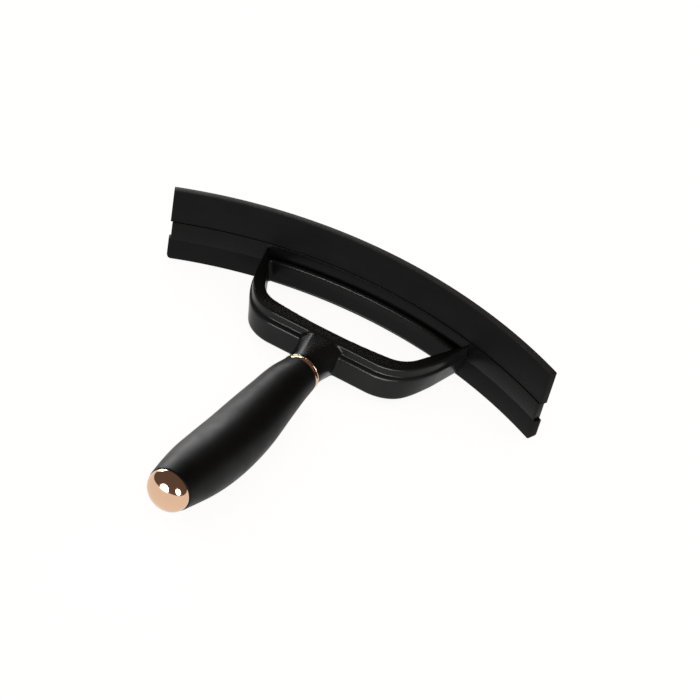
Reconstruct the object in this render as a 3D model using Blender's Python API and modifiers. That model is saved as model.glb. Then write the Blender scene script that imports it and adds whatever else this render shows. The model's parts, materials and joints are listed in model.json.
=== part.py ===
"""Horse sweat scraper: a curved rubber squeegee blade on a D-shaped bow, with a soft grip.

The head is modelled with the middle of the handle ring as its origin: X runs along the blade,
Y from the handle to the blade and Z is square to the flat of the bow. The handle has its own axis,
raised a few degrees towards the pommel. The whole scraper is then tipped until the grip's belly
and the lower edge of the blade rest on the same plane, Z = 0.
"""

import math

import bmesh
import bpy
import numpy as np
from mathutils import Matrix, Vector

MM = 0.001
GAP = 0.3 * MM  # clearance between pieces that touch

# Blade: two rubber lips on an arc, held in the grooves of a stiff carrier bar.
BLADE_RADIUS = 249.0 * MM  # outer, convex face
BLADE_APEX_Y = 82.5 * MM
BLADE_THICKNESS = 4.2 * MM
BLADE_HALF_ANGLE = math.radians(28.6)
BLADE_STEPS = 48
BLADE_TOP_Z = 34.8 * MM
BLADE_BOTTOM_Z = -12.4 * MM
BLADE_CORNER_RADIUS = 3.4 * MM
TONGUE_THICKNESS = 1.8 * MM
TONGUE_DEPTH = 3.4 * MM
CARRIER_TOP_Z = 13.4 * MM
CARRIER_BOTTOM_Z = 1.4 * MM
CARRIER_PROUD = 0.4 * MM  # the carrier stands in front of the lips on the concave side
CARRIER_END_INSET = 1.1 * MM
BLADE_CENTRE_Y = BLADE_APEX_Y - BLADE_RADIUS
BLADE_INNER_RADIUS = BLADE_RADIUS - BLADE_THICKNESS

# Bow: a wide lower body with a narrower rim on it, round a D-shaped window.
FRAME_BOTTOM_Z = -9.8 * MM
LEDGE_Z = 5.4 * MM
RIM_TOP_Z = 10.6 * MM
BOW_Y = 19.4 * MM  # outer wall of the bow's near side
BOW_STRAIGHT = 30.6 * MM
BOW_TURNS = ((25.0 * MM, math.radians(52)), (60.0 * MM, math.radians(22)))  # (radius, angle)
ARM_DRAFT = 0.05  # the arms' undersides stand closer together than their tops, by this share
DRAFT_START_Y = 19.4 * MM
DRAFT_FULL_Y = 44.4 * MM
RIM_Y = 22.1 * MM
RIM_STRAIGHT = 31.3 * MM
RIM_TURNS = ((24.0 * MM, math.radians(54)), (60.0 * MM, math.radians(20)))
WINDOW_Y = 29.4 * MM
WINDOW_TURNS = ((290.0 * MM, math.radians(7)), (17.0 * MM, math.radians(55)))
RAIL_DEPTH = 3.2 * MM  # from the back of the rail to the window
RAIL_CORNER_RADIUS = 3.0 * MM
EDGE_ROUND = 1.3 * MM

# Neck: round at the ring, nearly square where it runs into the bow.
NECK_RADIUS = 10.5 * MM
NECK_FRONT_Y = 1.8 * MM
NECK_BACK_Y = 27.0 * MM
NECK_HALF_WIDTH = 14.8 * MM  # at the bow, up to the ledge
NECK_RIDGE_HALF_WIDTH = 9.6 * MM  # at the bow, up to the rim
NECK_SINK = 0.15 * MM  # the neck runs out just under the bow's flat faces
NECK_STATIONS = 9
NECK_SIDES = 40

# Handle: everything below is turned or swept about the handle's own axis.
HANDLE_RISE = math.radians(5.2)
RING_RADIUS = 11.1 * MM
RING_BORE_RADIUS = 6.7 * MM
RING_WIDTH = 3.0 * MM
GRIP_START = 1.9 * MM
GRIP_LENGTH = 123.0 * MM
GRIP_LEVEL_END = 40.0 * MM  # from here on the grip's sections are square to its axis
GRIP_SIDES = 32
GRIP_STEPS = 22
SLEEVE_WALL = 2.6 * MM
# Grip outline: distance from the ring, radius, and height of the section's middle above the axis.
GRIP_SECTIONS = (
    (1.9, 11.2, 0.0),
    (15.0, 12.6, 0.4),
    (30.0, 13.9, -1.7),
    (48.0, 15.5, -4.5),
    (66.0, 16.1, -5.7),
    (84.0, 16.0, -4.8),
    (100.0, 15.1, -2.8),
    (112.0, 13.5, -1.2),
    (123.0, 11.6, 0.0),
)
SPIGOT_RADIUS = 6.2 * MM
SPIGOT_LENGTH = 21.0 * MM
SOCKET_DEPTH = 22.0 * MM
WEB_END = 34.0 * MM  # the screw head bears on this web inside the core
SCREW_HOLE_RADIUS = 2.9 * MM
REAR_BORE_RADIUS = 5.4 * MM
INSERT_RADIUS = 3.7 * MM
INSERT_LENGTH = 12.0 * MM
THREAD_RADIUS = 2.5 * MM
WASHER_RADIUS = 4.9 * MM
WASHER_THICKNESS = 1.2 * MM
SCREW_HEAD_RADIUS = 4.2 * MM
SCREW_HEAD_HEIGHT = 4.0 * MM
HEX_KEY_RADIUS = 2.3 * MM
HEX_KEY_DEPTH = 2.4 * MM
POMMEL_RADIUS = 11.2 * MM
POMMEL_HEIGHT = 7.4 * MM
POMMEL_PLUG_RADIUS = 5.0 * MM
POMMEL_PLUG_LENGTH = 12.0 * MM
ROUND_STEPS = 40


def clear_scene():
    for thing in list(bpy.data.objects):
        bpy.data.objects.remove(thing, do_unlink=True)


def new_collection(name):
    collection = bpy.data.collections.new(name)
    bpy.context.scene.collection.children.link(collection)
    return collection


def material(name, colour, roughness, metallic=0.0):
    made = bpy.data.materials.new(name)
    made.use_nodes = True
    shader = made.node_tree.nodes["Principled BSDF"]
    shader.inputs["Base Color"].default_value = (*colour, 1.0)
    shader.inputs["Roughness"].default_value = roughness
    shader.inputs["Metallic"].default_value = metallic
    return made


def satin_plastic():
    return material("satin_black_plastic", (0.012, 0.012, 0.013), 0.32)


def core_plastic():
    return material("grey_core_plastic", (0.10, 0.10, 0.11), 0.5)


def blade_rubber():
    return material("black_rubber", (0.02, 0.02, 0.021), 0.6)


def soft_touch():
    return material("soft_touch_charcoal", (0.018, 0.018, 0.019), 0.75)


def rose_gold():
    return material("rose_gold", (0.90, 0.56, 0.42), 0.12, 1.0)


def insert_brass():
    return material("brass", (0.80, 0.60, 0.25), 0.3, 1.0)


def zinc_steel():
    return material("zinc_steel", (0.62, 0.63, 0.65), 0.35, 1.0)


def link(mesh, name, collection, parent, look=None):
    thing = bpy.data.objects.new(name, mesh)
    collection.objects.link(thing)
    thing.parent = parent
    if look is not None:
        mesh.materials.append(look)
    return thing


def mesh_from(bm, name):
    bmesh.ops.recalc_face_normals(bm, faces=bm.faces)
    mesh = bpy.data.meshes.new(name)
    bm.to_mesh(mesh)
    bm.free()
    return mesh


def smooth(thing, angle=math.radians(35)):
    thing.data.shade_smooth()
    thing.data.set_sharp_from_angle(angle=angle)


def arc_points(centre, radius, start, end, steps):
    angles = np.linspace(start, end, steps + 1)
    return [(centre[0] + radius * math.cos(a), centre[1] + radius * math.sin(a)) for a in angles]


def right_and_left(right_side):
    """A closed outline from its right half, which runs from the handle side to the blade side."""
    left_side = [(-x, y) for x, y in reversed(right_side)]
    return right_side + [p for p in left_side if abs(p[0]) > 1e-6]


def bow_side(y_near, straight, turns, inset, blade_radius, blade_corner=0.0):
    """Right half of a D: near side, turns to the left, then a straight arm up to the blade's arc."""
    place = Vector((straight, y_near + inset))
    heading = 0.0
    points = [tuple(place)]
    for radius, angle in turns:
        radius -= inset
        centre = place + Vector((-math.sin(heading), math.cos(heading))) * radius
        start = heading - math.pi / 2
        points += arc_points(centre, radius, start, start + angle, 8)[1:]
        heading += angle
        place = Vector(points[-1])
    along = Vector((math.cos(heading), math.sin(heading)))
    hub = Vector((0.0, BLADE_CENTRE_Y))
    reach = place - hub
    half = reach.dot(along)
    length = -half + math.sqrt(half * half - reach.length_squared + blade_radius**2)
    corner = place + along * length
    end_angle = math.atan2(corner.y - hub.y, corner.x - hub.x)
    on_arc = arc_points(hub, blade_radius, end_angle + blade_corner / blade_radius, math.pi / 2, 14)
    if blade_corner:
        before = corner - along * blade_corner
        after = Vector(on_arc[0])
        for share in (0.0, 0.25, 0.5, 0.75):
            points.append(tuple(bent(before, corner, after, share)))
    return points + on_arc


def bent(start, corner, end, share):
    """Point on the quadratic curve from start to end that is pulled towards the corner."""
    return start.lerp(corner, share).lerp(corner.lerp(end, share), share)


def plate(name, outlines, low, high, rounding=0.0):
    """A flat solid from closed outlines, the later ones being holes; rounding softens its rims."""
    curve = bpy.data.curves.new(name, "CURVE")
    curve.dimensions = "2D"
    curve.fill_mode = "BOTH"
    curve.extrude = (high - low) / 2 - rounding
    curve.bevel_depth = rounding
    curve.bevel_resolution = 1
    curve.offset = -rounding
    for outline in outlines:
        spline = curve.splines.new("POLY")
        spline.points.add(len(outline) - 1)
        for point, (x, y) in zip(spline.points, outline):
            point.co = (x, y, 0.0, 1.0)
        spline.use_cyclic_u = True
    holder = bpy.data.objects.new(name + "_curve", curve)
    bpy.context.scene.collection.objects.link(holder)
    holder.location.z = (low + high) / 2
    bpy.context.view_layer.update()
    graph = bpy.context.evaluated_depsgraph_get()
    mesh = bpy.data.meshes.new_from_object(holder.evaluated_get(graph))
    mesh.transform(holder.matrix_world)
    bpy.data.objects.remove(holder, do_unlink=True)
    bpy.data.curves.remove(curve)
    bm = bmesh.new()
    bm.from_mesh(mesh)
    bpy.data.meshes.remove(mesh)
    bmesh.ops.remove_doubles(bm, verts=bm.verts, dist=0.005 * MM)
    return mesh_from(bm, name)


def draft_arms(mesh):
    """Draws the arms together towards their undersides; the bow's near side stays as it is."""
    for vertex in mesh.vertices:
        along = (vertex.co.y - DRAFT_START_Y) / (DRAFT_FULL_Y - DRAFT_START_Y)
        along = min(1.0, max(0.0, along))
        ease = along * along * (3 - 2 * along)
        depth = (LEDGE_Z - vertex.co.z) / (LEDGE_Z - FRAME_BOTTOM_Z)
        vertex.co.x *= 1 - ARM_DRAFT * ease * depth


def arc_bar(name, profile, half_angle, corner_radius=0.0):
    """A bar of constant section bent round the blade's centre; profile holds (radius, z) points."""
    bm = bmesh.new()
    turn = Matrix.Rotation(math.pi / 2 - half_angle, 4, "Z")
    hub = Vector((0.0, BLADE_CENTRE_Y, 0.0))
    section = [bm.verts.new(turn @ Vector((r, 0.0, z)) + hub) for r, z in profile]
    face = bm.faces.new(section)
    bmesh.ops.spin(
        bm,
        geom=[face, *face.edges, *face.verts],
        cent=hub,
        axis=(0.0, 0.0, 1.0),
        angle=2 * half_angle,
        steps=BLADE_STEPS,
    )
    bmesh.ops.recalc_face_normals(bm, faces=bm.faces)
    if corner_radius:
        round_lower_corners(bm, half_angle, corner_radius)
    return mesh_from(bm, name)


def round_lower_corners(bm, half_angle, radius):
    """Rounds the two corners of the lowest edge, at the ends of a bar."""
    lowest = min(v.co.z for v in bm.verts)
    end_x = math.sin(half_angle) * BLADE_INNER_RADIUS
    corners = [
        e
        for e in bm.edges
        if all(abs(v.co.z - lowest) < 1e-6 and abs(v.co.x) > end_x - 1e-6 for v in e.verts)
    ]
    bmesh.ops.bevel(bm, geom=corners, offset=radius, segments=4, profile=0.5, affect="EDGES")


def join(target, other, operation):
    step = target.modifiers.new(operation.lower() + "_" + other.name, "BOOLEAN")
    step.operation = operation
    step.solver = "EXACT"
    step.object = other


def lip(name, low, high, tongue_up, corner_radius, look, parts, root):
    """A rubber lip with a tongue that sits in the carrier's groove."""
    inner = BLADE_INNER_RADIUS
    outer = BLADE_RADIUS
    middle = (inner + outer) / 2
    half = TONGUE_THICKNESS / 2
    if tongue_up:
        tip = high + TONGUE_DEPTH
        profile = [
            (inner, low),
            (outer, low),
            (outer, high),
            (middle + half, high),
            (middle + half, tip),
            (middle - half, tip),
            (middle - half, high),
            (inner, high),
        ]
    else:
        tip = low - TONGUE_DEPTH
        profile = [
            (inner, high),
            (inner, low),
            (middle - half, low),
            (middle - half, tip),
            (middle + half, tip),
            (middle + half, low),
            (outer, low),
            (outer, high),
        ]
    mesh = arc_bar(name, profile, BLADE_HALF_ANGLE, corner_radius)
    piece = link(mesh, name, parts, root, look)
    smooth(piece)
    return piece


def carrier_bar(cutters, root):
    """Stiff bar between the lips, H-shaped in section, with a groove along its top and bottom."""
    inner = BLADE_INNER_RADIUS - CARRIER_PROUD
    middle = (BLADE_INNER_RADIUS + BLADE_RADIUS) / 2
    half = TONGUE_THICKNESS / 2 + GAP
    deep = TONGUE_DEPTH + GAP
    profile = [
        (inner, CARRIER_BOTTOM_Z),
        (middle - half, CARRIER_BOTTOM_Z),
        (middle - half, CARRIER_BOTTOM_Z + deep),
        (middle + half, CARRIER_BOTTOM_Z + deep),
        (middle + half, CARRIER_BOTTOM_Z),
        (BLADE_RADIUS, CARRIER_BOTTOM_Z),
        (BLADE_RADIUS, CARRIER_TOP_Z),
        (middle + half, CARRIER_TOP_Z),
        (middle + half, CARRIER_TOP_Z - deep),
        (middle - half, CARRIER_TOP_Z - deep),
        (middle - half, CARRIER_TOP_Z),
        (inner, CARRIER_TOP_Z),
    ]
    shortened = BLADE_HALF_ANGLE - CARRIER_END_INSET / BLADE_RADIUS
    return link(arc_bar("carrier_bar", profile, shortened), "carrier_bar", cutters, root)


def neck_section(share, start_y, start_radius, half_width, high):
    """Ring of points at one station: a circle at the collar, a rounded rectangle at the bow."""
    ease = share * share * (3 - 2 * share)
    power = 2.0 + 3.0 * ease
    low = -start_radius + (start_radius + FRAME_BOTTOM_Z + NECK_SINK) * ease
    top = start_radius + (high - NECK_SINK - start_radius) * ease
    width = start_radius + (half_width - start_radius) * share
    y = start_y + (NECK_BACK_Y - start_y) * share
    points = []
    for k in range(NECK_SIDES):
        angle = 2 * math.pi * k / NECK_SIDES
        across = math.copysign(abs(math.cos(angle)) ** (2 / power), math.cos(angle))
        up = math.copysign(abs(math.sin(angle)) ** (2 / power), math.sin(angle))
        z = (top + low) / 2 + up * (top - low) / 2
        points.append(Vector((across * width, y, z)))
    return points


def neck_loft(name, start_y, start_radius, half_width, high, cutters, root):
    shares = np.linspace(0.0, 1.0, NECK_STATIONS)
    sections = [neck_section(float(s), start_y, start_radius, half_width, high) for s in shares]
    return link(loft(name, sections), name, cutters, root)


def loft(name, sections):
    """A closed solid through rings of points, with flat ends."""
    bm = bmesh.new()
    rings = [[bm.verts.new(p) for p in section] for section in sections]
    for near, far in zip(rings, rings[1:]):
        for k in range(len(near)):
            n = (k + 1) % len(near)
            bm.faces.new((near[k], near[n], far[n], far[k]))
    bm.faces.new(rings[0])
    bm.faces.new(rings[-1])
    return mesh_from(bm, name)


def tube_loft(name, outer, inner):
    """An open-ended tube between two families of rings."""
    bm = bmesh.new()
    outside = [[bm.verts.new(p) for p in section] for section in outer]
    inside = [[bm.verts.new(p) for p in section] for section in inner]
    loops = outside + list(reversed(inside))
    loops.append(outside[0])
    for near, far in zip(loops, loops[1:]):
        for k in range(len(near)):
            n = (k + 1) % len(near)
            bm.faces.new((near[k], near[n], far[n], far[k]))
    return mesh_from(bm, name)


def turned(name, profile, collection, parent, look=None, steps=ROUND_STEPS):
    """A solid turned about the handle's axis. profile holds (distance from the ring, radius).

    A profile that starts on the axis ends on it too; any other one is closed into a ring.
    """
    bm = bmesh.new()
    points = [bm.verts.new((radius, 0.0, -distance)) for distance, radius in profile]
    if profile[0][1] > 0.0:
        points.append(points[0])
    for a, b in zip(points, points[1:]):
        bm.edges.new((a, b))
    mesh = bpy.data.meshes.new(name)
    bm.to_mesh(mesh)
    bm.free()
    piece = link(mesh, name, collection, parent, look)
    piece.rotation_euler = (-math.pi / 2, 0.0, 0.0)
    screw = piece.modifiers.new("turn", "SCREW")
    screw.axis = "Z"
    screw.angle = 2 * math.pi
    screw.steps = steps
    screw.render_steps = steps
    screw.use_merge_vertices = True
    screw.merge_threshold = 0.00001
    screw.use_smooth_shade = True
    return piece


def head_frame(parts, cutters, root, handle):
    """Bow, rail, neck, carrier bar and spigot, moulded as one piece."""
    back = BLADE_INNER_RADIUS - GAP
    bow = (BOW_Y, BOW_STRAIGHT, BOW_TURNS)
    window = (WINDOW_Y, 0.0, WINDOW_TURNS)
    outside = right_and_left(bow_side(*bow, 0.0, back))
    inside = right_and_left(bow_side(*window, 0.0, back - RAIL_DEPTH, RAIL_CORNER_RADIUS))
    body = plate("head_frame", [outside, inside], FRAME_BOTTOM_Z, LEDGE_Z, EDGE_ROUND)
    draft_arms(body)
    frame = link(body, "head_frame", parts, root, satin_plastic())

    rim_outside = right_and_left(bow_side(RIM_Y, RIM_STRAIGHT, RIM_TURNS, 0.0, back))
    rim_inside = right_and_left(bow_side(*window, 0.1 * MM, back + 2 * MM))
    rim_plate = plate("rim", [rim_outside], LEDGE_Z - 2 * MM, RIM_TOP_Z, 0.8 * MM)
    rim = link(rim_plate, "rim", cutters, root)
    opening = link(plate("rim_window", [rim_inside], -30 * MM, 30 * MM), "rim_window", cutters, root)
    join(rim, opening, "DIFFERENCE")
    neck = neck_loft("neck", NECK_FRONT_Y, NECK_RADIUS, NECK_HALF_WIDTH, LEDGE_Z, cutters, root)
    ridge = neck_loft(
        "neck_ridge",
        NECK_FRONT_Y + 0.2 * MM,
        NECK_RADIUS - 0.2 * MM,
        NECK_RIDGE_HALF_WIDTH,
        RIM_TOP_Z,
        cutters,
        root,
    )
    spigot = turned(
        "spigot",
        [
            (-NECK_FRONT_Y - 4 * MM, 0.0),
            (-NECK_FRONT_Y - 4 * MM, SPIGOT_RADIUS),
            (SPIGOT_LENGTH, SPIGOT_RADIUS),
            (SPIGOT_LENGTH, 0.0),
        ],
        cutters,
        handle,
    )
    bore = turned(
        "insert_bore",
        [
            (SPIGOT_LENGTH - INSERT_LENGTH - 1.5 * MM, 0.0),
            (SPIGOT_LENGTH - INSERT_LENGTH - 1.5 * MM, INSERT_RADIUS + GAP),
            (SPIGOT_LENGTH + 3 * MM, INSERT_RADIUS + GAP),
            (SPIGOT_LENGTH + 3 * MM, 0.0),
        ],
        cutters,
        handle,
    )
    for added in (rim, neck, ridge, carrier_bar(cutters, root), spigot):
        join(frame, added, "UNION")
    join(frame, bore, "DIFFERENCE")
    smooth(frame)
    return frame


def smooth_between(table, distance):
    """Value of each column at one distance, on a curve through the table's rows."""
    rows = np.array(table, float)
    k = int(np.clip(np.searchsorted(rows[:, 0], distance) - 1, 0, len(rows) - 2))
    slopes = np.gradient(rows[:, 1:], rows[:, 0], axis=0)
    span = rows[k + 1, 0] - rows[k, 0]
    t = (distance - rows[k, 0]) / span
    start = (2 * t**3 - 3 * t**2 + 1) * rows[k, 1:] + (t**3 - 2 * t**2 + t) * span * slopes[k]
    end = (3 * t**2 - 2 * t**3) * rows[k + 1, 1:] + (t**3 - t**2) * span * slopes[k + 1]
    return start + end


def grip_rings(start, end, inset):
    """Rings of the grip's outline, moved inwards by inset. The first one is parallel to the collar."""
    rings = []
    for distance in np.linspace(start, end, GRIP_STEPS + 1):
        radius, height = smooth_between(GRIP_SECTIONS, distance / MM) * MM
        lean = HANDLE_RISE * max(0.0, 1.0 - (distance - start) / GRIP_LEVEL_END)
        ring = []
        for k in range(GRIP_SIDES):
            angle = 2 * math.pi * k / GRIP_SIDES
            across = (radius - inset) * math.cos(angle)
            up = (radius - inset) * math.sin(angle)
            y = -distance - up * math.sin(lean)
            ring.append(Vector((across, y, height + up * math.cos(lean))))
        rings.append(ring)
    return rings


def grip_sleeve(parts, handle):
    """Soft-touch skin over the core, open at both ends."""
    outer = grip_rings(GRIP_START, GRIP_LENGTH, 0.0)
    inner = grip_rings(GRIP_START, GRIP_LENGTH, SLEEVE_WALL)
    sleeve = link(tube_loft("grip_sleeve", outer, inner), "grip_sleeve", parts, handle, soft_touch())
    smooth(sleeve)
    return sleeve


def grip_core(parts, cutters, handle):
    """Stiff core: a socket for the spigot, a web for the screw and a bore from the pommel end."""
    start = GRIP_START
    end = GRIP_LENGTH - 0.1 * MM
    body = loft("grip_core", grip_rings(start, end, SLEEVE_WALL + GAP))
    core = link(body, "grip_core", parts, handle, core_plastic())
    hole = turned(
        "core_bore",
        [
            (start - 4 * MM, 0.0),
            (start - 4 * MM, SPIGOT_RADIUS + GAP),
            (SOCKET_DEPTH, SPIGOT_RADIUS + GAP),
            (SOCKET_DEPTH, SCREW_HOLE_RADIUS),
            (WEB_END, SCREW_HOLE_RADIUS),
            (WEB_END, REAR_BORE_RADIUS),
            (end + 4 * MM, REAR_BORE_RADIUS),
            (end + 4 * MM, 0.0),
        ],
        cutters,
        handle,
    )
    join(core, hole, "DIFFERENCE")
    smooth(core)
    return core


def collar_ring(parts, root):
    """Plated band between neck and grip, with softly rounded rims."""
    half = RING_WIDTH / 2
    edge = 0.5 * MM
    profile = [
        (-half, RING_BORE_RADIUS),
        (-half, RING_RADIUS - edge),
        (-half + edge, RING_RADIUS),
        (half - edge, RING_RADIUS),
        (half, RING_RADIUS - edge),
        (half, RING_BORE_RADIUS),
    ]
    return turned("collar_ring", profile, parts, root, rose_gold())


def pommel_cap(parts, handle):
    """Plated dome with a plug that is pressed into the core's rear bore."""
    base = GRIP_LENGTH + GAP
    quarter = np.linspace(0.0, math.pi / 2, 13)
    dome = [(base + POMMEL_HEIGHT * math.sin(a), POMMEL_RADIUS * math.cos(a)) for a in quarter]
    profile = [
        (base - POMMEL_PLUG_LENGTH, 0.0),
        (base - POMMEL_PLUG_LENGTH, POMMEL_PLUG_RADIUS),
        (base, POMMEL_PLUG_RADIUS),
        *dome[:-1],
        (base + POMMEL_HEIGHT, 0.0),
    ]
    return turned("pommel_cap", profile, parts, handle, rose_gold())


def threaded_insert(parts, handle):
    """Brass insert in the end of the spigot, with a groove round its middle."""
    start = SPIGOT_LENGTH - INSERT_LENGTH
    groove = 0.6 * MM
    bore = THREAD_RADIUS + GAP
    profile = [
        (start, bore),
        (start, INSERT_RADIUS),
        (start + 0.4 * INSERT_LENGTH, INSERT_RADIUS),
        (start + 0.4 * INSERT_LENGTH, INSERT_RADIUS - groove),
        (start + 0.6 * INSERT_LENGTH, INSERT_RADIUS - groove),
        (start + 0.6 * INSERT_LENGTH, INSERT_RADIUS),
        (SPIGOT_LENGTH, INSERT_RADIUS),
        (SPIGOT_LENGTH, bore),
    ]
    return turned("threaded_insert", profile, parts, handle, insert_brass(), 24)


def screw_washer(parts, handle):
    near = WEB_END + GAP
    far = near + WASHER_THICKNESS
    hole = THREAD_RADIUS + GAP
    profile = [
        (near, hole),
        (near, WASHER_RADIUS),
        (far, WASHER_RADIUS),
        (far, hole),
    ]
    return turned("screw_washer", profile, parts, handle, zinc_steel(), 28)


def handle_screw(parts, cutters, handle):
    """Socket-head screw that draws the grip onto the spigot."""
    tip = SPIGOT_LENGTH - INSERT_LENGTH + 0.5 * MM
    seat = WEB_END + WASHER_THICKNESS + 2 * GAP
    top = seat + SCREW_HEAD_HEIGHT
    profile = [
        (tip, 0.0),
        (tip, THREAD_RADIUS - 0.6 * MM),
        (tip + 0.6 * MM, THREAD_RADIUS),
        (seat, THREAD_RADIUS),
        (seat, SCREW_HEAD_RADIUS),
        (top, SCREW_HEAD_RADIUS),
        (top, 0.0),
    ]
    screw = turned("handle_screw", profile, parts, handle, zinc_steel(), 28)
    key = turned(
        "hex_key",
        [
            (top - HEX_KEY_DEPTH, 0.0),
            (top - HEX_KEY_DEPTH, HEX_KEY_RADIUS),
            (top + 2 * MM, HEX_KEY_RADIUS),
            (top + 2 * MM, 0.0),
        ],
        cutters,
        handle,
        steps=6,
    )
    join(screw, key, "DIFFERENCE")
    return screw


def world_points(thing):
    graph = bpy.context.evaluated_depsgraph_get()
    shown = thing.evaluated_get(graph)
    mesh = shown.to_mesh()
    points = [shown.matrix_world @ v.co for v in mesh.vertices]
    shown.to_mesh_clear()
    return points


def settle(root, front, back):
    """Tips the scraper until the lowest points of front and back are level."""
    tilt = 0.0
    at_rest = [world_points(front), world_points(back)]
    for _ in range(6):
        turn = Matrix.Rotation(tilt, 4, "X")
        low_front, low_back = (min(points, key=lambda p: (turn @ p).z) for points in at_rest)
        tilt = -math.atan2(low_front.z - low_back.z, low_front.y - low_back.y)
    root.rotation_euler.x = tilt


def stand(root, pieces):
    """Moves the scraper so that its box is centred on X and Y and stands on Z = 0."""
    bpy.context.view_layer.update()
    points = [p for piece in pieces for p in world_points(piece)]
    low = Vector([min(p[k] for p in points) for k in range(3)])
    high = Vector([max(p[k] for p in points) for k in range(3)])
    middle = (low + high) / 2
    root.location = (-middle.x, -middle.y, -low.z)
    bpy.context.view_layer.update()


def main():
    clear_scene()
    parts = new_collection("sweat_scraper")
    cutters = new_collection("cutters")
    root = bpy.data.objects.new("scraper", None)
    handle = bpy.data.objects.new("handle_axis", None)
    for empty in (root, handle):
        parts.objects.link(empty)
    handle.parent = root
    handle.rotation_euler = (-HANDLE_RISE, 0.0, 0.0)

    rubber = blade_rubber()
    upper = lip(
        "upper_blade", CARRIER_TOP_Z + GAP, BLADE_TOP_Z, False, 0.0, rubber, parts, root
    )
    lower = lip(
        "lower_blade",
        BLADE_BOTTOM_Z,
        CARRIER_BOTTOM_Z - GAP,
        True,
        BLADE_CORNER_RADIUS,
        rubber,
        parts,
        root,
    )
    sleeve = grip_sleeve(parts, handle)
    pieces = [
        upper,
        lower,
        sleeve,
        head_frame(parts, cutters, root, handle),
        collar_ring(parts, root),
        grip_core(parts, cutters, handle),
        pommel_cap(parts, handle),
        threaded_insert(parts, handle),
        screw_washer(parts, handle),
        handle_screw(parts, cutters, handle),
    ]
    for cutter in cutters.objects:
        cutter.hide_render = True
        cutter.display_type = "WIRE"
    bpy.context.view_layer.update()
    settle(root, lower, sleeve)
    stand(root, pieces)


main()
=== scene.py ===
"""Horse sweat scraper: the detailed model round its CAD frame, on a pale light table.

Pieces are built with the middle of the collar ring as their origin: X runs along the blade, Y from
the handle to the blade and Z is square to the flat of the bow. PLACE puts that frame where the CAD
model lies; HANDLE adds the handle's own rise. Lengths are in metres, through MM.
"""

import json
import math

import bmesh
import bpy
import numpy as np
from mathutils import Matrix, Vector


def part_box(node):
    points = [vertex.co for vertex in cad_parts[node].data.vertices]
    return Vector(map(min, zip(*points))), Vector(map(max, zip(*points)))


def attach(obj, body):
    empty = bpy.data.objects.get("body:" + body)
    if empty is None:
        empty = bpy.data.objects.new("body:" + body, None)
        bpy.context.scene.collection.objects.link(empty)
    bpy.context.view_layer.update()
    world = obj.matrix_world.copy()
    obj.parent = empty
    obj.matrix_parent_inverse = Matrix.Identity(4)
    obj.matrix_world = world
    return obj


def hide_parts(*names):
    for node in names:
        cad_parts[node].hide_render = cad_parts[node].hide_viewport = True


MM = 0.001

# Blade and carrier
BLADE_RADIUS = 249.0 * MM
BLADE_CENTRE_Y = -166.5 * MM
BLADE_THICKNESS = 4.2 * MM
BLADE_HALF_ANGLE = math.radians(28.6)
BLADE_TOP_Z = 34.8 * MM
BLADE_BOTTOM_Z = -12.4 * MM
CARRIER_TOP_Z = 13.4 * MM
CARRIER_BOTTOM_Z = 1.4 * MM
CARRIER_PROUD = 0.4 * MM
CARRIER_RECESS = 0.35 * MM  # of the carrier's outer face behind the lips
CARRIER_END_INSET = 1.1 * MM
CARRIER_ROUND = 0.35 * MM
LIP_ROUND = 0.3 * MM
LIP_CORNER = 3.4 * MM  # at the lower lip's two ends
LIP_GAP = 0.3 * MM
SEAM = 0.08 * MM  # between the carrier and each lip
ARC_STEPS = 110

# Bow
FRAME_BOTTOM_Z = -9.8 * MM
LEDGE_Z = 5.4 * MM
RIM_TOP_Z = 10.6 * MM
BOW_Y = 19.4 * MM
BOW_STRAIGHT = 30.6 * MM
BOW_TURNS = ((25.0 * MM, math.radians(52)), (60.0 * MM, math.radians(22)))
ARM_DRAFT = 0.05  # the arms' undersides stand closer together than their tops, by this share
DRAFT_START_Y = 19.4 * MM
DRAFT_FULL_Y = 44.4 * MM
RIM_Y = 22.1 * MM
RIM_STRAIGHT = 31.3 * MM
RIM_TURNS = ((24.0 * MM, math.radians(54)), (60.0 * MM, math.radians(20)))
WINDOW_Y = 29.4 * MM
WINDOW_TURNS = ((290.0 * MM, math.radians(7)), (17.0 * MM, math.radians(55)))
BODY_ROUND = 2.0 * MM
RIM_ROUND = 0.9 * MM
RIM_SINK = 2.0 * MM  # of the raised rim into the bow's body
OPENING_INSET = 0.1 * MM  # the rim's opening is smaller than the body's by this
OPENING_REACH = 3.0 * MM  # of that opening's outline past the blade's inner face
OPENING_HALF_DEPTH = 30.0 * MM
RAIL_DEPTH = 3.2 * MM
RAIL_CORNER = 3.0 * MM
FRAME_VOXEL = 0.42 * MM
FRAME_SMOOTHING = 14

# Neck and spigot
NECK_RADIUS = 10.5 * MM
NECK_FRONT_Y = 1.8 * MM
NECK_BACK_Y = 27.0 * MM
NECK_SINK = 0.15 * MM  # keeps the neck's corners just under the bow's flat faces
NECK_STATIONS = 24
NECK_EDGE_STEPS = 14
# Corners of the neck's section, down its right side: angle on the collar's circle in degrees,
# and place at the bow
NECK_CORNERS = (
    (74.0, (6.6 * MM, 10.6 * MM)),
    (40.0, (12.6 * MM, 7.4 * MM)),
    (-50.0, (10.6 * MM, -9.8 * MM)),
)
SPIGOT_RADIUS = 6.2 * MM
SPIGOT_LENGTH = 21.0 * MM
SPIGOT_ROOT = 4.0 * MM  # inside the neck
INSERT_BORE = 4.0 * MM
INSERT_BORE_START = 7.5 * MM

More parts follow.
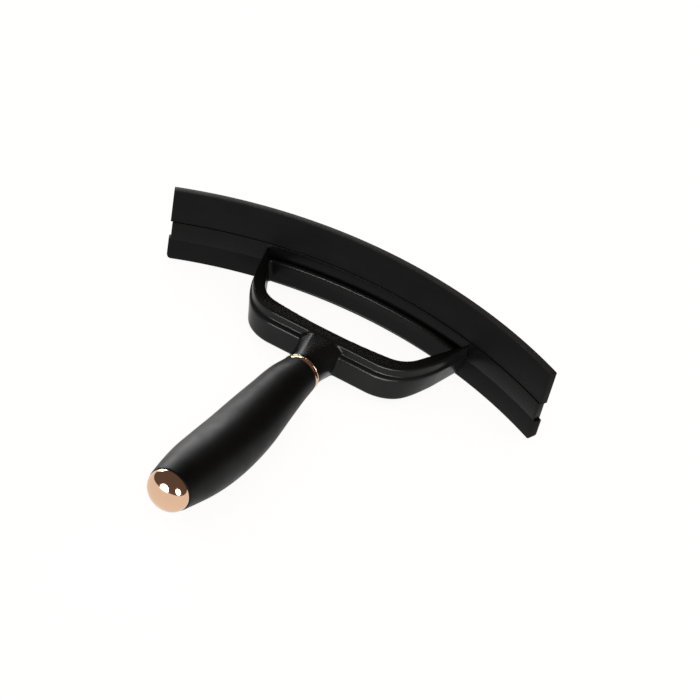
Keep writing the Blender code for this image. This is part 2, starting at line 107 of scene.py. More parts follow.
# Handle
HANDLE_RISE = math.radians(5.2)
RING_RADIUS = 11.1 * MM
RING_HALF_WIDTH = 1.5 * MM
RING_BORE = 6.7 * MM
RING_BEAD = 0.8 * MM  # width of the bead on the head side
RING_BEAD_RISE = 0.35 * MM
RING_GROOVE_WIDTH = 0.30 * MM
RING_GROOVE_DEPTH = 0.45 * MM
RING_CROWN = 0.12 * MM  # of the wide band
GRIP_START = 1.9 * MM
GRIP_LENGTH = 123.0 * MM
GRIP_LEVEL_END = 40.0 * MM
GRIP_STEPS = 120
GRIP_SIDES = 112
GRIP_RIM = 0.6 * MM
GRIP_RIM_STEPS = 5
GRIP_BORE_STEPS = 30
SLEEVE_WALL = 2.6 * MM
# Along the grip, in millimetres: distance from the ring, radius, and height of its middle
GRIP_SECTIONS = (
    (1.9, 11.2, 0.0),
    (15.0, 12.6, 0.4),
    (30.0, 13.9, -1.7),
    (48.0, 15.5, -4.5),
    (66.0, 16.1, -5.7),
    (84.0, 16.0, -4.8),
    (100.0, 15.1, -2.8),
    (112.0, 13.5, -1.2),
    (123.0, 11.6, 0.0),
)
POMMEL_RADIUS = 11.2 * MM
POMMEL_HEIGHT = 7.4 * MM
POMMEL_EDGE = 0.3 * MM
POMMEL_PLUG_RADIUS = 5.0 * MM
POMMEL_PLUG_LENGTH = 12.0 * MM

# Camera and studio, seen from the collar ring
CAMERA_TURN = math.radians(21.32)
CAMERA_ELEVATION = math.radians(39.65)
CAMERA_ROLL = math.radians(-12.77)
RING_FROM_CAMERA = Vector((-26.64, 12.38, 819.26)) * MM  # right, down and forward
CAMERA_LENS = 80.0
SENSOR_WIDTH = 36.0
TABLE_RADIUS = 6.0
TABLE_GLOW = 0.92
ROOM_COLOUR = (0.135, 0.105, 0.09, 1.0)


def place_of_frame():
    """The head's own frame in the row frame, read from the CAD model."""
    low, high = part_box("collar_ring")
    mounts = {mount["name"]: mount for mount in frame["record"]["mounts"]}
    up = Vector(mounts["working_edge"]["axis"])
    tilt = math.atan2(-up.y, up.z)
    return Matrix.Translation((low + high) / 2) @ Matrix.Rotation(tilt, 4, "X")


# ---------------------------------------------------------------- outlines


def arc_points(centre, radius, start, end, steps):
    angles = np.linspace(start, end, steps + 1)
    return [(centre[0] + radius * math.cos(a), centre[1] + radius * math.sin(a)) for a in angles]


def mirrored(right_side):
    """A closed outline from its right half, which runs from the handle side to the blade side."""
    left_side = [(-x, y) for x, y in reversed(right_side)]
    return right_side + [p for p in left_side if abs(p[0]) > 1e-6]


def bow_side(y_near, straight, turns, inset, blade_radius):
    """Right half of a D, open at the blade: near side, turns to the left, then a straight arm."""
    place = Vector((straight, y_near + inset))
    heading = 0.0
    points = [tuple(place)]
    for radius, angle in turns:
        radius -= inset
        centre = place + Vector((-math.sin(heading), math.cos(heading))) * radius
        start = heading - math.pi / 2
        points += arc_points(centre, radius, start, start + angle, 24)[1:]
        heading += angle
        place = Vector(points[-1])
    along = Vector((math.cos(heading), math.sin(heading)))
    reach = place - Vector((0.0, BLADE_CENTRE_Y))
    half = reach.dot(along)
    length = -half + math.sqrt(half * half - reach.length_squared + blade_radius**2)
    return points + [tuple(place + along * length)], along


def closed_d(y_near, straight, turns, inset, blade_radius, corner=0.0):
    """A whole D, closed by an arc that follows the blade, with that end's corners rounded."""
    points, along = bow_side(y_near, straight, turns, inset, blade_radius)
    hub = Vector((0.0, BLADE_CENTRE_Y))
    tip = Vector(points[-1])
    start = math.atan2(tip.y - hub.y, tip.x - hub.x) + corner / blade_radius
    on_arc = arc_points(hub, blade_radius, start, math.pi / 2, 40)
    if corner:
        before = tip - along * corner
        after = Vector(on_arc[0])
        curve = [
            before.lerp(tip, share).lerp(tip.lerp(after, share), share)
            for share in np.linspace(0.0, 0.9, 8)
        ]
        points = points[:-1] + [tuple(p) for p in curve]
    else:
        points = points[:-1]
    return mirrored(points + on_arc)


# ---------------------------------------------------------------- meshes


def mesh_from(bm, name):
    bmesh.ops.recalc_face_normals(bm, faces=bm.faces)
    mesh = bpy.data.meshes.new(name)
    bm.to_mesh(mesh)
    bm.free()
    return mesh


def link(mesh, name):
    thing = bpy.data.objects.new(name, mesh)
    bpy.context.scene.collection.objects.link(thing)
    return thing


def applied(thing):
    """Puts the object's modifiers into its mesh."""
    graph = bpy.context.evaluated_depsgraph_get()
    mesh = bpy.data.meshes.new_from_object(thing.evaluated_get(graph))
    thing.modifiers.clear()
    thing.data = mesh
    return thing


def plate(name, outlines, low, high, rounding):
    """A flat solid from closed outlines, the later ones being holes, with rounded rims."""
    curve = bpy.data.curves.new(name, "CURVE")
    curve.dimensions = "2D"
    curve.fill_mode = "BOTH"
    curve.extrude = (high - low) / 2 - rounding
    curve.bevel_depth = rounding
    curve.bevel_resolution = 4
    curve.offset = -rounding
    for outline in outlines:
        spline = curve.splines.new("POLY")
        spline.points.add(len(outline) - 1)
        for point, (x, y) in zip(spline.points, outline):
            point.co = (x, y, 0.0, 1.0)
        spline.use_cyclic_u = True
    holder = bpy.data.objects.new(name, curve)
    bpy.context.scene.collection.objects.link(holder)
    bpy.context.view_layer.update()
    graph = bpy.context.evaluated_depsgraph_get()
    mesh = bpy.data.meshes.new_from_object(holder.evaluated_get(graph))
    mesh.transform(Matrix.Translation((0.0, 0.0, (low + high) / 2)))
    bpy.data.objects.remove(holder, do_unlink=True)
    bm = bmesh.new()
    bm.from_mesh(mesh)
    bmesh.ops.remove_doubles(bm, verts=bm.verts, dist=0.005 * MM)
    return mesh_from(bm, name)


def loft(name, rings, capped=True):
    """A surface through rings of points: capped with flat ends, or closed on itself like a tube."""
    bm = bmesh.new()
    loops = [[bm.verts.new(p) for p in ring] for ring in rings]
    if not capped:
        loops.append(loops[0])
    for near, far in zip(loops, loops[1:]):
        for k in range(len(near)):
            n = (k + 1) % len(near)
            bm.faces.new((near[k], near[n], far[n], far[k]))
    if capped:
        bm.faces.new(loops[0])
        bm.faces.new(loops[-1])
    return mesh_from(bm, name)


def turned(name, profile, steps=128):
    """A solid turned about the handle's axis. profile holds (distance from the ring, radius)."""
    bm = bmesh.new()
    ends_on_axis = profile[0][1] == 0.0
    inner = profile[1:-1] if ends_on_axis else profile
    rings = []
    for distance, radius in inner:
        ring = []
        for k in range(steps):
            angle = 2 * math.pi * k / steps
            point = (radius * math.cos(angle), -distance, radius * math.sin(angle))
            ring.append(bm.verts.new(point))
        rings.append(ring)
    pairs = list(zip(rings, rings[1:]))
    if not ends_on_axis:
        pairs.append((rings[-1], rings[0]))
    for near, far in pairs:
        for k in range(steps):
            n = (k + 1) % steps
            bm.faces.new((near[k], near[n], far[n], far[k]))
    if ends_on_axis:
        for (distance, _), ring in ((profile[0], rings[0]), (profile[-1], rings[-1])):
            tip = bm.verts.new((0.0, -distance, 0.0))
            for k in range(steps):
                bm.faces.new((ring[k], ring[(k + 1) % steps], tip))
    return mesh_from(bm, name)


def arc_bar(name, profile, half_angle):
    """A bar of constant section bent round the blade's centre; profile holds (radius, z) points."""
    rings = []
    for turn in np.linspace(-half_angle, half_angle, ARC_STEPS + 1):
        sine, cosine = math.sin(turn), math.cos(turn)
        rings.append([(r * sine, BLADE_CENTRE_Y + r * cosine, z) for r, z in profile])
    return loft(name, rings)


def bevelled(thing, width, segments=3, angle=math.radians(40)):
    bevel = thing.modifiers.new("edge_round", "BEVEL")
    bevel.width = width
    bevel.segments = segments
    bevel.limit_method = "ANGLE"
    bevel.angle_limit = angle
    bevel.harden_normals = False
    return thing


def smooth(thing, angle=math.radians(40)):
    thing.data.shade_smooth()
    thing.data.set_sharp_from_angle(angle=angle)


def finish_piece(thing, place, look, slot_name, *nodes):
    """Places a piece, gives it its material and ties it to the CAD model."""
    thing.matrix_world = place
    thing.data.materials.clear()
    thing.data.materials.append(look)
    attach(thing, "root")
    if nodes:
        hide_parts(*nodes)
    return thing


# ---------------------------------------------------------------- materials


class Look:
    """A Principled material with helpers for procedural detail in the piece's own coordinates."""

    def __init__(self, name):
        self.material = bpy.data.materials.new(name)
        self.material.use_nodes = True
        self.tree = self.material.node_tree
        self.shader = self.tree.nodes["Principled BSDF"]
        self.coords = self.add("ShaderNodeTexCoord").outputs["Object"]

    def add(self, kind, **settings):
        node = self.tree.nodes.new(kind)
        for key, value in settings.items():
            setattr(node, key, value)
        return node

    def set(self, **values):
        for key, value in values.items():
            self.shader.inputs[key.replace("_", " ")].default_value = value

    def join(self, output, socket):
        self.tree.links.new(output, socket)

    def stretched(self, scale):
        node = self.add("ShaderNodeMapping")
        node.inputs["Scale"].default_value = scale
        self.join(self.coords, node.inputs["Vector"])
        return node.outputs["Vector"]

    def noise(self, scale, detail=3.0, roughness=0.55, coords=None):
        node = self.add("ShaderNodeTexNoise")
        node.inputs["Scale"].default_value = scale
        node.inputs["Detail"].default_value = detail
        node.inputs["Roughness"].default_value = roughness
        self.join(coords or self.coords, node.inputs["Vector"])
        return node.outputs["Fac"]

    def ranged(self, value, from_min, from_max, to_min, to_max):
        node = self.add("ShaderNodeMapRange", clamp=True)
        for name, number in (
            ("From Min", from_min),
            ("From Max", from_max),
            ("To Min", to_min),
            ("To Max", to_max),
        ):
            node.inputs[name].default_value = number
        self.join(value, node.inputs["Value"])
        return node.outputs["Result"]

    def math(self, operation, a, b):
        node = self.add("ShaderNodeMath", operation=operation)
        for socket, value in zip(node.inputs, (a, b)):
            if isinstance(value, (int, float)):
                socket.default_value = value
            else:
                self.join(value, socket)
        return node.outputs[0]

    def axis(self, name):
        node = self.add("ShaderNodeSeparateXYZ")
        self.join(self.coords, node.inputs[0])
        return node.outputs[name]

    def mixed(self, factor, a, b):
        node = self.add("ShaderNodeMix", data_type="RGBA")
        self.join(factor, node.inputs["Factor"])
        for socket, colour in ((node.inputs[6], a), (node.inputs[7], b)):
            if isinstance(colour, tuple):
                socket.default_value = (*colour, 1.0)
            else:
                self.join(colour, socket)
        return node.outputs[2]

    def bump(self, height, distance, strength=1.0, normal=None):
        node = self.add("ShaderNodeBump")
        node.inputs["Distance"].default_value = distance
        node.inputs["Strength"].default_value = strength
        self.join(height, node.inputs["Height"])
        if normal is not None:
            self.join(normal, node.inputs["Normal"])
        return node.outputs["Normal"]


def satin_plastic():
    """Black moulded plastic: a faint orange peel, uneven gloss and a little dust."""
    look = Look("satin_black_plastic")
    look.set(Specular_IOR_Level=0.1)
    cloud = look.noise(70.0, 4.0)
    dust = look.ranged(look.noise(2600.0, 2.0), 0.62, 0.75, 0.0, 1.0)
    colour = look.mixed(cloud, (0.0022, 0.0022, 0.0022), (0.0040, 0.0039, 0.0038))
    colour = look.mixed(look.math("MULTIPLY", dust, 0.25), colour, (0.009, 0.009, 0.009))
    look.join(colour, look.shader.inputs["Base Color"])
    rough = look.ranged(look.noise(240.0, 4.0, 0.6), 0.3, 0.7, 0.24, 0.30)
    look.join(rough, look.shader.inputs["Roughness"])
    peel = look.bump(look.noise(150.0, 2.0), 0.05 * MM, 0.12)
    grain = look.bump(look.noise(5200.0, 2.0), 0.004 * MM, 0.3, peel)
    look.join(grain, look.shader.inputs["Normal"])
    return look.material


def blade_rubber():
    """Matt black rubber: smears along the blade, fine grain, and a painted highlight that makes the
    top edge paler.
    """
    look = Look("black_rubber")
    look.set(Specular_IOR_Level=0.06)
    smear = look.noise(90.0, 5.0, 0.6, look.stretched((0.25, 1.0, 1.0)))
    colour = look.mixed(smear, (0.0030, 0.0030, 0.0030), (0.0075, 0.0075, 0.0075))
    # Painted highlight: the top edge is painted paler, in speckles, in place of the light that its
    # upward-facing top face catches.
    height = look.axis("Z")
    edge = look.ranged(height, BLADE_TOP_Z - 0.45 * MM, BLADE_TOP_Z - 0.05 * MM, 0.0, 1.0)
    speckle = look.ranged(look.noise(900.0, 5.0, 0.7), 0.3, 0.7, 0.45, 1.0)
    colour = look.mixed(look.math("MULTIPLY", edge, speckle), colour, (0.024, 0.024, 0.024))
    look.join(colour, look.shader.inputs["Base Color"])
    rough = look.ranged(look.noise(55.0, 4.0), 0.3, 0.7, 0.48, 0.62)
    look.join(rough, look.shader.inputs["Roughness"])
    wave = look.bump(look.noise(22.0, 2.0), 0.6 * MM, 0.15)
    grain = look.bump(look.noise(3200.0, 3.0), 0.02 * MM, 0.6, wave)
    look.join(grain, look.shader.inputs["Normal"])
    return look.material


def soft_touch():
    """Charcoal soft-touch coating: velvety, finely pebbled, a little uneven in gloss."""
    look = Look("soft_touch_charcoal")
    look.set(Specular_IOR_Level=0.09, Sheen_Weight=0.03, Sheen_Roughness=0.4)
    look.set(Sheen_Tint=(0.6, 0.6, 0.6, 1.0))
    cloud = look.noise(60.0, 5.0, 0.6)
    colour = look.mixed(cloud, (0.0026, 0.0026, 0.0026), (0.0052, 0.0052, 0.0052))
    look.join(colour, look.shader.inputs["Base Color"])
    rough = look.ranged(look.noise(110.0, 5.0, 0.65), 0.3, 0.7, 0.38, 0.50)
    look.join(rough, look.shader.inputs["Roughness"])
    pebble = look.bump(look.noise(2400.0, 3.0), 0.03 * MM, 0.6)
    look.join(pebble, look.shader.inputs["Normal"])
    return look.material


def rose_gold():
    """Polished rose gold plating with hairline scratches and a faint unevenness."""
    look = Look("rose_gold_plating")
    look.set(Metallic=1.0)
    cloud = look.noise(130.0, 3.0)
    colour = look.mixed(cloud, (0.74, 0.50, 0.345), (0.68, 0.44, 0.295))
    look.join(colour, look.shader.inputs["Base Color"])
    hair = look.noise(1500.0, 4.0, 0.7, look.stretched((1.0, 0.12, 1.0)))
    look.join(look.ranged(hair, 0.4, 0.75, 0.05, 0.14), look.shader.inputs["Roughness"])
    dents = look.bump(look.noise(190.0, 2.0), 0.04 * MM, 0.25)
    look.join(dents, look.shader.inputs["Normal"])
    return look.material


def core_plastic():
    """Plain grey filled plastic of the hidden core."""
    look = Look("grey_core_plastic")
    colour = look.mixed(look.noise(80.0, 4.0), (0.085, 0.085, 0.09), (0.12, 0.12, 0.125))
    look.join(colour, look.shader.inputs["Base Color"])
    look.join(look.ranged(look.noise(300.0), 0.3, 0.7, 0.42, 0.6), look.shader.inputs["Roughness"])
    look.join(look.bump(look.noise(2500.0), 0.02 * MM, 0.5), look.shader.inputs["Normal"])
    return look.material


def turned_metal(name, colour, rough):
    """Plain machined metal with turning marks round its axis."""
    look = Look(name)
    look.set(Metallic=1.0)
    darker = tuple(c * 0.8 for c in colour)
    look.join(look.mixed(look.noise(220.0, 4.0), darker, colour), look.shader.inputs["Base Color"])
    marks = look.noise(2500.0, 2.0, 0.5, look.stretched((0.05, 1.0, 0.05)))
    ranged = look.ranged(marks, 0.3, 0.7, rough * 0.8, rough * 1.3)
    look.join(ranged, look.shader.inputs["Roughness"])
    look.join(look.bump(marks, 0.02 * MM, 0.5), look.shader.inputs["Normal"])
    return look.material


# ---------------------------------------------------------------- the scraper's pieces


def neck_section(share):
    """Ring of points at one station: round at the collar, with flat facets and edges at the bow."""
    ease = share * share * (3 - 2 * share)
    y = NECK_FRONT_Y + (NECK_BACK_Y - NECK_FRONT_Y) * share
    right = [
        (math.radians(angle), Vector((x, z - math.copysign(NECK_SINK, z))))
        for angle, (x, z) in NECK_CORNERS
    ]
    left = [(math.pi - angle, Vector((-place.x, place.y))) for angle, place in reversed(right)]
    corners = right + left
    points = []
    for (angle, place), (next_angle, next_place) in zip(corners, corners[1:] + corners[:1]):
        turn = (angle - next_angle) % (2 * math.pi)
        for step in range(NECK_EDGE_STEPS):
            along = step / NECK_EDGE_STEPS
            on_circle = angle - turn * along
            circle = Vector((math.cos(on_circle), math.sin(on_circle))) * NECK_RADIUS
            point = circle.lerp(place.lerp(next_place, along), ease)
            points.append((point.x, y, point.y))
    return points


def neck_mesh():
    """The faceted neck, from the collar to inside the bow's near side."""
    shares = np.linspace(0.0, 1.0, NECK_STATIONS)
    return loft("neck", [neck_section(float(share)) for share in shares])


def spigot_mesh():
    """The hidden spigot that the handle slides on, bored for the threaded insert."""
    root = -NECK_FRONT_Y - SPIGOT_ROOT
    profile = [
        (root, 0.0),
        (root, SPIGOT_RADIUS),
        (SPIGOT_LENGTH, SPIGOT_RADIUS),
        (SPIGOT_LENGTH, INSERT_BORE),
        (INSERT_BORE_START, INSERT_BORE),
        (INSERT_BORE_START, 0.0),
    ]
    mesh = turned("spigot", profile, 48)
    mesh.transform(Matrix.Rotation(-HANDLE_RISE, 4, "X"))
    return mesh


def draft_arms(mesh):
    """Draws the arms together towards their undersides; the bow's near side stays upright."""
    for vertex in mesh.vertices:
        along = (vertex.co.y - DRAFT_START_Y) / (DRAFT_FULL_Y - DRAFT_START_Y)
        along = min(1.0, max(0.0, along))
        ease = along * along * (3 - 2 * along)
        depth = (LEDGE_Z - vertex.co.z) / (LEDGE_Z - FRAME_BOTTOM_Z)
        vertex.co.x *= 1 - ARM_DRAFT * ease * depth


def combined(target, others):
    """Applies Boolean steps to target and removes the helpers; others holds (object, operation)."""
    for other, operation in others:
        step = target.modifiers.new(other.name, "BOOLEAN")
        step.operation = operation
        step.solver = "EXACT"
        step.object = other
    bpy.context.view_layer.update()
    applied(target)
    for other, _ in others:
        bpy.data.objects.remove(other, do_unlink=True)


def bow_and_neck(look):
    """Bow, rail and neck as one moulding: the parts are fused and every join gets a fillet."""
    back = BLADE_RADIUS - BLADE_THICKNESS
    bow = (BOW_Y, BOW_STRAIGHT, BOW_TURNS)
    window = (WINDOW_Y, 0.0, WINDOW_TURNS)
    outside = closed_d(*bow, 0.0, back)
    inside = closed_d(*window, 0.0, back - LIP_GAP - RAIL_DEPTH, RAIL_CORNER)
    body = plate("body", [outside, inside], FRAME_BOTTOM_Z, LEDGE_Z, BODY_ROUND)
    draft_arms(body)
    rim_outline = closed_d(RIM_Y, RIM_STRAIGHT, RIM_TURNS, 0.0, back)
    opening_outline = closed_d(*window, OPENING_INSET, back + OPENING_REACH)
    rim = link(plate("rim", [rim_outline], LEDGE_Z - RIM_SINK, RIM_TOP_Z, RIM_ROUND), "rim")
    cut = plate("opening", [opening_outline], -OPENING_HALF_DEPTH, OPENING_HALF_DEPTH, 0.0)
    opening = link(cut, "opening")
    combined(rim, [(opening, "DIFFERENCE")])
    thing = link(body, "bow_and_neck")
    neck = link(neck_mesh(), "neck")
    spigot = link(spigot_mesh(), "spigot")
    combined(thing, [(rim, "UNION"), (neck, "UNION"), (spigot, "UNION")])
    remesh = thing.modifiers.new("fuse", "REMESH")
    remesh.mode = "VOXEL"
    remesh.voxel_size = FRAME_VOXEL
    fillet = thing.modifiers.new("fillet", "SMOOTH")
    fillet.factor = 0.5
    fillet.iterations = FRAME_SMOOTHING
    applied(thing)
    thing.data.shade_smooth()
    return finish_piece(thing, PLACE, look, "frame_plastic", "head_frame")


def carrier_bar(look):
    """The stiff bar between the lips, a little proud of them on the concave side."""
    inner = BLADE_RADIUS - BLADE_THICKNESS - CARRIER_PROUD
    outer = BLADE_RADIUS - CARRIER_RECESS
    profile = [
        (inner, CARRIER_BOTTOM_Z),
        (outer, CARRIER_BOTTOM_Z),
        (outer, CARRIER_TOP_Z),
        (inner, CARRIER_TOP_Z),
    ]
    half_angle = BLADE_HALF_ANGLE - CARRIER_END_INSET / BLADE_RADIUS
    thing = link(arc_bar("carrier_bar", profile, half_angle), "carrier_bar")
    bevelled(thing, CARRIER_ROUND)
    applied(thing)
    smooth(thing)
    return finish_piece(thing, PLACE, look, "frame_plastic", "head_frame")


def lip(name, low, high, corner_radius, look):
    """A rubber lip with softened edges; corner_radius rounds the ends of its lower edge."""
    inner = BLADE_RADIUS - BLADE_THICKNESS
    profile = [(inner, low), (BLADE_RADIUS, low), (BLADE_RADIUS, high), (inner, high)]
    mesh = arc_bar(name, profile, BLADE_HALF_ANGLE)
    if corner_radius:
        bm = bmesh.new()
        bm.from_mesh(mesh)
        end_x = math.sin(BLADE_HALF_ANGLE) * inner - 0.01 * MM
        corners = [
            e
            for e in bm.edges
            if all(abs(v.co.z - low) < 1e-6 and abs(v.co.x) > end_x for v in e.verts)
        ]
        bmesh.ops.bevel(
            bm, geom=corners, offset=corner_radius, segments=8, profile=0.5, affect="EDGES"
        )
        bm.to_mesh(mesh)
        bm.free()
    thing = link(mesh, name)
    bevelled(thing, LIP_ROUND)
    applied(thing)
    smooth(thing)
    return finish_piece(thing, PLACE, look, "blade_rubber", name.replace("_lip", "_blade"))


def smooth_between(table, distance):
    """Value of each column at one distance, on a curve through the table's rows."""
    rows = np.array(table, float)
    k = int(np.clip(np.searchsorted(rows[:, 0], distance) - 1, 0, len(rows) - 2))
    slopes = np.gradient(rows[:, 1:], rows[:, 0], axis=0)
    span = rows[k + 1, 0] - rows[k, 0]
    t = (distance - rows[k, 0]) / span
    start = (2 * t**3 - 3 * t**2 + 1) * rows[k, 1:] + (t**3 - 2 * t**2 + t) * span * slopes[k]
    end = (3 * t**2 - 2 * t**3) * rows[k + 1, 1:] + (t**3 - t**2) * span * slopes[k + 1]
    return start + end


def grip_ring(distance, inset):
    """Ring of points round the grip; near the collar it leans to lie flat against the ring."""
    radius, height = smooth_between(GRIP_SECTIONS, distance / MM) * MM
    lean = HANDLE_RISE * max(0.0, 1.0 - (distance - GRIP_START) / GRIP_LEVEL_END)
    ring = []
    for k in range(GRIP_SIDES):
        angle = 2 * math.pi * k / GRIP_SIDES
        up = (radius - inset) * math.sin(angle)
        point = ((radius - inset) * math.cos(angle), -distance - up * math.sin(lean))
        ring.append((*point, height + up * math.cos(lean)))
    return ring


def grip_sleeve(look):
    """The soft skin: rounded rims at both ends, a smooth belly between them and a plain bore."""
    quarter = np.linspace(0.0, math.pi / 2, GRIP_RIM_STEPS)
    rim = [(GRIP_RIM * (1 - math.cos(a)), GRIP_RIM * (1 - math.sin(a))) for a in quarter]
    belly = np.linspace(GRIP_START + GRIP_RIM, GRIP_LENGTH - GRIP_RIM, GRIP_STEPS + 1)[1:-1]
    bore = np.linspace(GRIP_LENGTH, GRIP_START, GRIP_BORE_STEPS)
    stations = [(GRIP_START + depth, inset) for depth, inset in rim]
    stations += [(distance, 0.0) for distance in belly]
    stations += [(GRIP_LENGTH - depth, inset) for depth, inset in reversed(rim)]
    stations += [(distance, SLEEVE_WALL) for distance in bore]
    rings = [grip_ring(float(distance), inset) for distance, inset in stations]
    thing = link(loft("grip_skin", rings, capped=False), "grip_skin")
    smooth(thing, math.radians(60))
    return finish_piece(thing, HANDLE, look, "soft_touch", "grip_sleeve")


def collar_ring(look):
    """Two plated bands with a fine groove between them: a wide one and a bead on the head side."""
    half = RING_HALF_WIDTH
    bead_middle = -half + RING_BEAD / 2
    bead = [
        (
            bead_middle + RING_BEAD / 2 * math.cos(a),
            RING_RADIUS - RING_BEAD_RISE + RING_BEAD_RISE * math.sin(a),
        )
        for a in np.linspace(math.pi, 0.0, 9)
    ]
    valley = -half + RING_BEAD
    band_start = valley + RING_GROOVE_WIDTH
    groove = [
        (valley + 0.05 * MM, RING_RADIUS - RING_GROOVE_DEPTH),
        (valley + 0.25 * MM, RING_RADIUS - RING_GROOVE_DEPTH),
        (band_start, RING_RADIUS - 0.15 * MM),
    ]
    band = [
        (
            band_start + (half - band_start) * share,
            RING_RADIUS - RING_CROWN + RING_CROWN * (1 - (2 * share - 1) ** 2),
        )
        for share in np.linspace(0.0, 1.0, 13)
    ]
    rim = [(half, RING_RADIUS - 0.4 * MM), (half, RING_BORE)]
    profile = [(-half, RING_BORE), *bead, *groove, *band, *rim]
    thing = link(turned("collar_band", profile, 160), "collar_band")
    smooth(thing, math.radians(50))
    return finish_piece(thing, PLACE, look, "rose_plating", "collar_ring")


def pommel(look):
    """The plated dome: a low cap on a plug that reaches into the grip."""
    base = GRIP_LENGTH + LIP_GAP
    dome = [
        (base + POMMEL_HEIGHT * math.sin(a), POMMEL_RADIUS * math.cos(a))
        for a in np.linspace(0.0, math.pi / 2, 33)
    ]
    profile = [
        (base - POMMEL_PLUG_LENGTH, 0.0),
        (base - POMMEL_PLUG_LENGTH, POMMEL_PLUG_RADIUS),
        (base, POMMEL_PLUG_RADIUS),
        (base, POMMEL_RADIUS - POMMEL_EDGE),
        *dome[:-1],
        (base + POMMEL_HEIGHT, 0.0),
    ]
    thing = link(turned("pommel_dome", profile, 144), "pommel_dome")
    smooth(thing, math.radians(50))
    return finish_piece(thing, HANDLE, look, "rose_plating", "pommel_cap")


def inner_parts():
    """The CAD solids inside the handle stay as they are and get their own finishes."""
    steel = turned_metal("zinc_steel", (0.62, 0.63, 0.65), 0.32)
    looks = {
        "grip_core": core_plastic(),
        "threaded_insert": turned_metal("insert_brass", (0.80, 0.60, 0.25), 0.28),
        "screw_washer": steel,
        "handle_screw": steel,
    }
    for node, look in looks.items():
        thing = frame["nodes"][node]
        thing.data.materials.clear()
        thing.data.materials.append(look)


# ---------------------------------------------------------------- studio


def camera():
    """The camera, placed and turned from the collar ring."""
    turn, elevation, roll = CAMERA_TURN, CAMERA_ELEVATION, CAMERA_ROLL
    level = Vector((math.cos(turn), math.sin(turn), 0.0))
    forward = Vector(
        (
            -math.sin(turn) * math.cos(elevation),
            math.cos(turn) * math.cos(elevation),
            -math.sin(elevation),
        )
    )
    down = forward.cross(level)
    right = math.cos(roll) * level + math.sin(roll) * down
    down = -math.sin(roll) * level + math.cos(roll) * down
    offset = RING_FROM_CAMERA
    spot = -(right * offset.x + down * offset.y + forward * offset.z)
    axes = Matrix((right, -down, -forward)).transposed().to_4x4()
    data = bpy.data.cameras.new("camera")
    data.lens = CAMERA_LENS
    data.sensor_width = SENSOR_WIDTH
    data.clip_start = 10 * MM
    thing = bpy.data.objects.new("camera", data)
    bpy.context.scene.collection.objects.link(thing)
    thing.matrix_world = PLACE @ Matrix.Translation(spot) @ axes
    bpy.context.scene.camera = thing


def area_light(name, azimuth, elevation, distance, size, power, flatness=None):
    """A light that faces the collar ring: a disc, or a rectangle of size by size * flatness.

    Azimuth is measured in degrees from +X towards +Y.
    """
    azimuth, elevation = math.radians(azimuth), math.radians(elevation)
    towards = Vector(
        (
            math.cos(azimuth) * math.cos(elevation),
            math.sin(azimuth) * math.cos(elevation),
            math.sin(elevation),
        )
    )
    data = bpy.data.lights.new(name, "AREA")
    data.shape = "RECTANGLE" if flatness else "DISK"
    data.size = size
    if flatness:
        data.size_y = size * flatness
    data.energy = power
    thing = bpy.data.objects.new(name, data)
    bpy.context.scene.collection.objects.link(thing)
    thing.location = PLACE.translation + towards * distance
    thing.rotation_euler = towards.to_track_quat("Z", "Y").to_euler()
    thing.visible_camera = False
    return thing


def light_table():
    """A pale table, lit from within, that keeps the object's shadow faint."""
    bm = bmesh.new()
    bmesh.ops.create_circle(bm, cap_ends=True, radius=TABLE_RADIUS, segments=96)
    thing = link(mesh_from(bm, "light_table"), "light_table")
    look = Look("light_table_acrylic")
    look.set(Base_Color=(0.86, 0.86, 0.86, 1.0), Roughness=0.9, Specular_IOR_Level=0.1)
    look.set(Emission_Color=(1.0, 1.0, 1.0, 1.0), Emission_Strength=TABLE_GLOW)
    thing.data.materials.append(look.material)
    return thing


def spare(lights, table):
    """Keeps these lights off the table, which has its own glow."""
    spared = bpy.data.collections.new("table_only")
    spared.objects.link(table)
    spared.collection_objects[0].light_linking.link_state = "EXCLUDE"
    for light in lights:
        light.light_linking.receiver_collection = spared


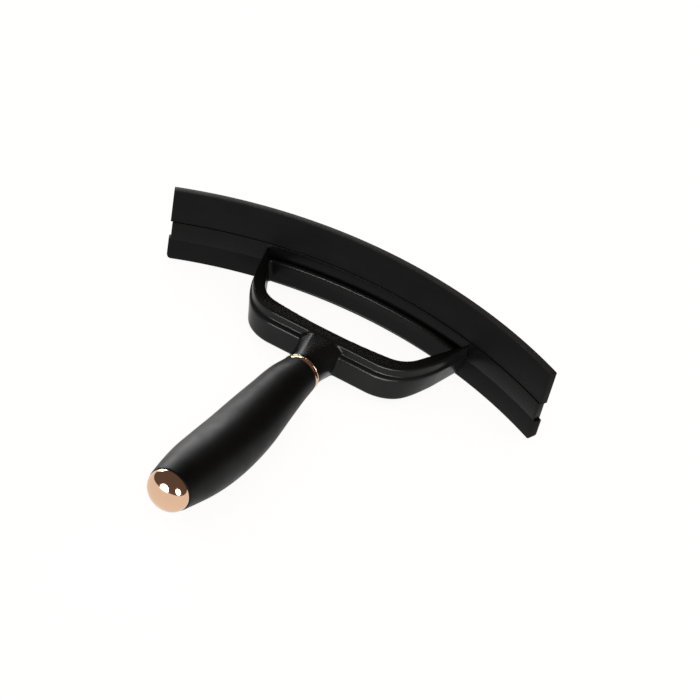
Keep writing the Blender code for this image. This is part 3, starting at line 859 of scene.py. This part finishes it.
def studio():
    """A dim warm room, the table, two umbrellas in front and a panel behind."""
    world = bpy.data.worlds.new("studio")
    world.use_nodes = True
    background = world.node_tree.nodes["Background"]
    background.inputs["Color"].default_value = ROOM_COLOUR
    background.inputs["Strength"].default_value = 1.0
    bpy.context.scene.world = world
    table = light_table()
    lights = [
        area_light("left_umbrella", -103, 8, distance=1.25, size=0.66, power=9.0),
        area_light("right_umbrella", -47, 16, distance=1.25, size=0.58, power=8.0),
        area_light("back_left_panel", 136, 14, distance=1.1, size=0.95, power=17.0, flatness=0.55),
    ]
    spare(lights, table)


def edge_strip(moulding):
    """A long strip in front that lights the moulding only, to draw out its rounded edges."""
    strip = area_light("front_strip", -84, 9, distance=1.2, size=1.15, power=60.0, flatness=0.3)
    lit = bpy.data.collections.new("moulding_only")
    lit.objects.link(moulding)
    strip.light_linking.receiver_collection = lit


with open("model.json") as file:
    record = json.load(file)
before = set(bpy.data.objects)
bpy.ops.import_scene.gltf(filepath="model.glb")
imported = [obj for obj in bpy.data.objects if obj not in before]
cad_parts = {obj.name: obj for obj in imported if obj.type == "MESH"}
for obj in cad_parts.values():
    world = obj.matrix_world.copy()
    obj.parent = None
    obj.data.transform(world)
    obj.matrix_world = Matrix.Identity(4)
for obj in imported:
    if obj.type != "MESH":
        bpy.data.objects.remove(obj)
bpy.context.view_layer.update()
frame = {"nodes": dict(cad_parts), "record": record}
PLACE = place_of_frame()
HANDLE = PLACE @ Matrix.Rotation(-HANDLE_RISE, 4, "X")

camera()
studio()
plastic = satin_plastic()
rubber = blade_rubber()
plating = rose_gold()
edge_strip(bow_and_neck(plastic))
carrier_bar(plastic)
lip("upper_lip", CARRIER_TOP_Z + SEAM, BLADE_TOP_Z, 0.0, rubber)
lip("lower_lip", BLADE_BOTTOM_Z, CARRIER_BOTTOM_Z - SEAM, LIP_CORNER, rubber)
grip_sleeve(soft_touch())
collar_ring(plating)
pommel(plating)
inner_parts()
bpy.context.scene.view_settings.view_transform = "Standard"
